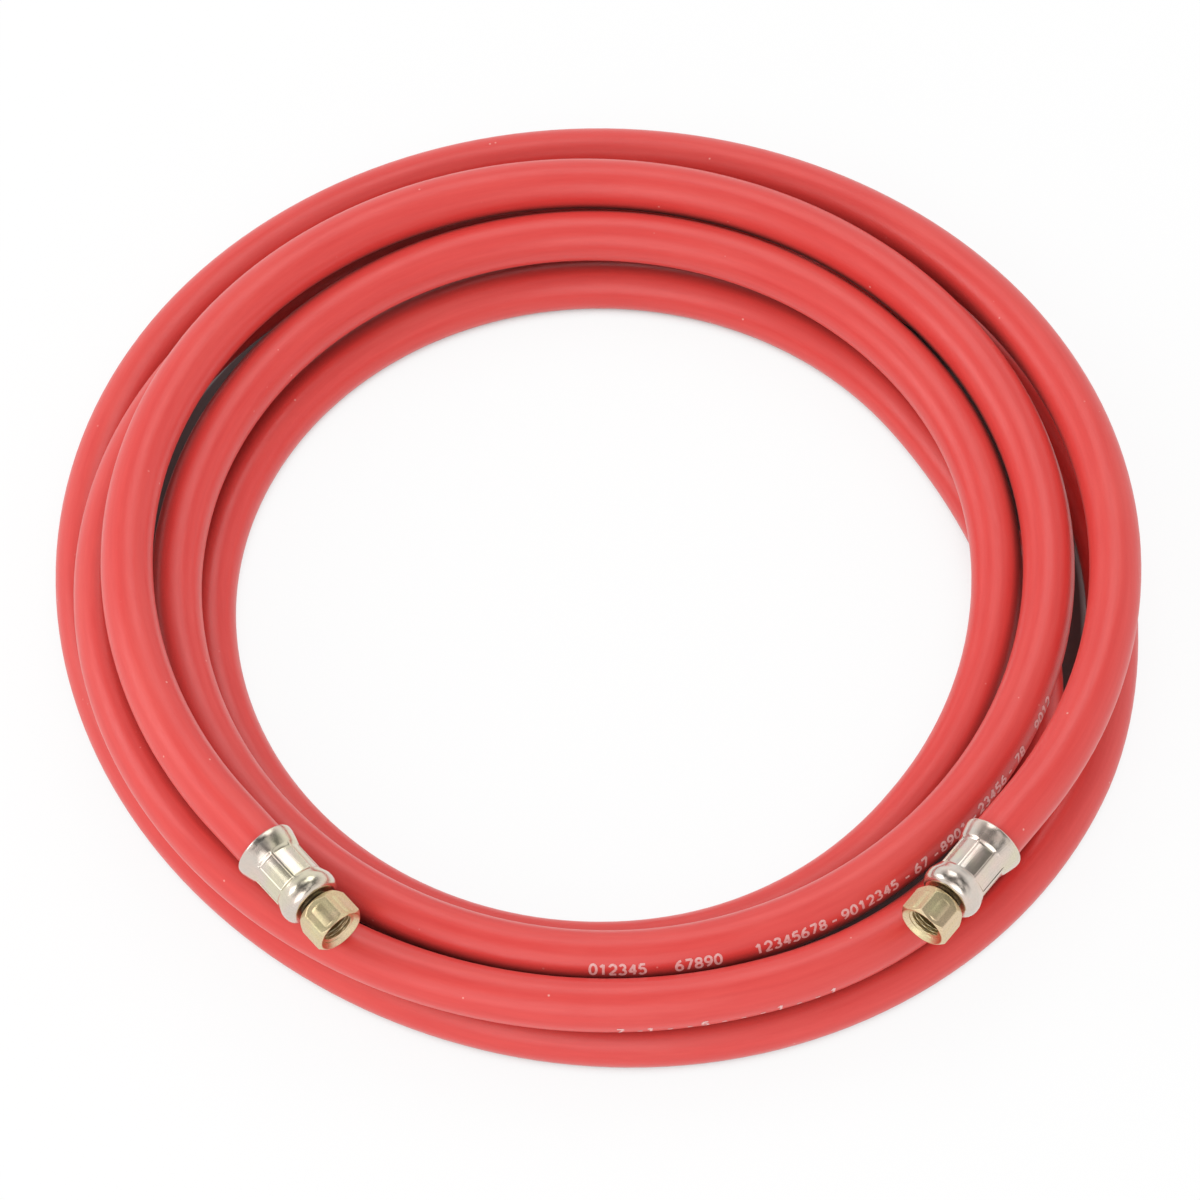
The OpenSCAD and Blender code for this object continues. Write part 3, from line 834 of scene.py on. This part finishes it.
# %% Floor
REACH, BELOW = 3, -0.0004
corners = [
    (-REACH, -REACH, BELOW), (REACH, -REACH, BELOW), (REACH, REACH, BELOW), (-REACH, REACH, BELOW)]
floor_mesh = bpy.data.meshes.new("floor")
floor_mesh.from_pydata(corners, [], [(0, 1, 2, 3)])
floor_mesh.materials.append(white_paper)
floor = bpy.data.objects.new("floor", floor_mesh)
bpy.context.scene.collection.objects.link(floor)
print("floor", 2 * REACH, "m wide")

# %% [markdown]
# ## Sky and lamps
# The sky is a plain pale light. In a mirror it is dimmer overhead than at the
# horizon, as a studio's ceiling is, and cloudy, which gives the metal something
# to mirror. Soft lamps stand in front, on the left and behind.

# %% Sky
DARK_PANEL, PALE_PANEL = (0.06, 0.06, 0.06), (0.85, 0.84, 0.82)
SKY_LIGHT, SKY_SEEN = 0.81, 1.0
world = bpy.data.worlds.new("pale_sky")
bpy.context.scene.world = world
world.use_nodes = True
tree = world.node_tree
sky = tree.nodes["Background"]
direction = node(tree, "ShaderNodeTexCoord").outputs["Generated"]
height = node(tree, "ShaderNodeSeparateXYZ", Vector=direction).outputs["Z"]
mirrored = node(tree, "ShaderNodeLightPath").outputs["Is Glossy Ray"]
ceiling = maths(tree, "MULTIPLY", between(tree, height, 0.35, 0.75), mirrored)
panels = between(tree, noise(tree, direction, 2.6, 2.0), 0.44, 0.58)
overhead = blend_colours(tree, panels, DARK_PANEL, PALE_PANEL)
tree.links.new(blend_colours(tree, ceiling, (1, 1, 1), overhead), sky.inputs[0])
strength = between(tree, seen_directly(tree), 0.0, 1.0, SKY_LIGHT, SKY_SEEN)
tree.links.new(strength, sky.inputs[1])
print("sky:", SKY_LIGHT, "as light,", SKY_SEEN, "where it is seen")


# %% Lamps
def soft_lamp(name, place_at, size, watts):
    """A square area lamp that looks at the coil."""
    lamp = bpy.data.objects.new(name, bpy.data.lights.new(name, "AREA"))
    lamp.data.size = size
    lamp.data.energy = watts
    lamp.location = place_at
    reach = np.array(place_at) / np.linalg.norm(place_at)
    lamp.rotation_euler = (np.arccos(reach[2]), 0, np.arctan2(reach[1], reach[0]) + np.pi / 2)
    bpy.context.scene.collection.objects.link(lamp)
    print(name, place_at, watts, "W")


soft_lamp("front_softbox", (-0.30, -1.40, 1.08), size=1.3, watts=7.5)
soft_lamp("rear_softbox", (0.10, 0.95, 1.50), size=0.9, watts=4.5)
soft_lamp("left_softbox", (-1.50, 0.10, 0.90), size=0.8, watts=5)
bpy.context.scene.view_settings.view_transform = "Standard"
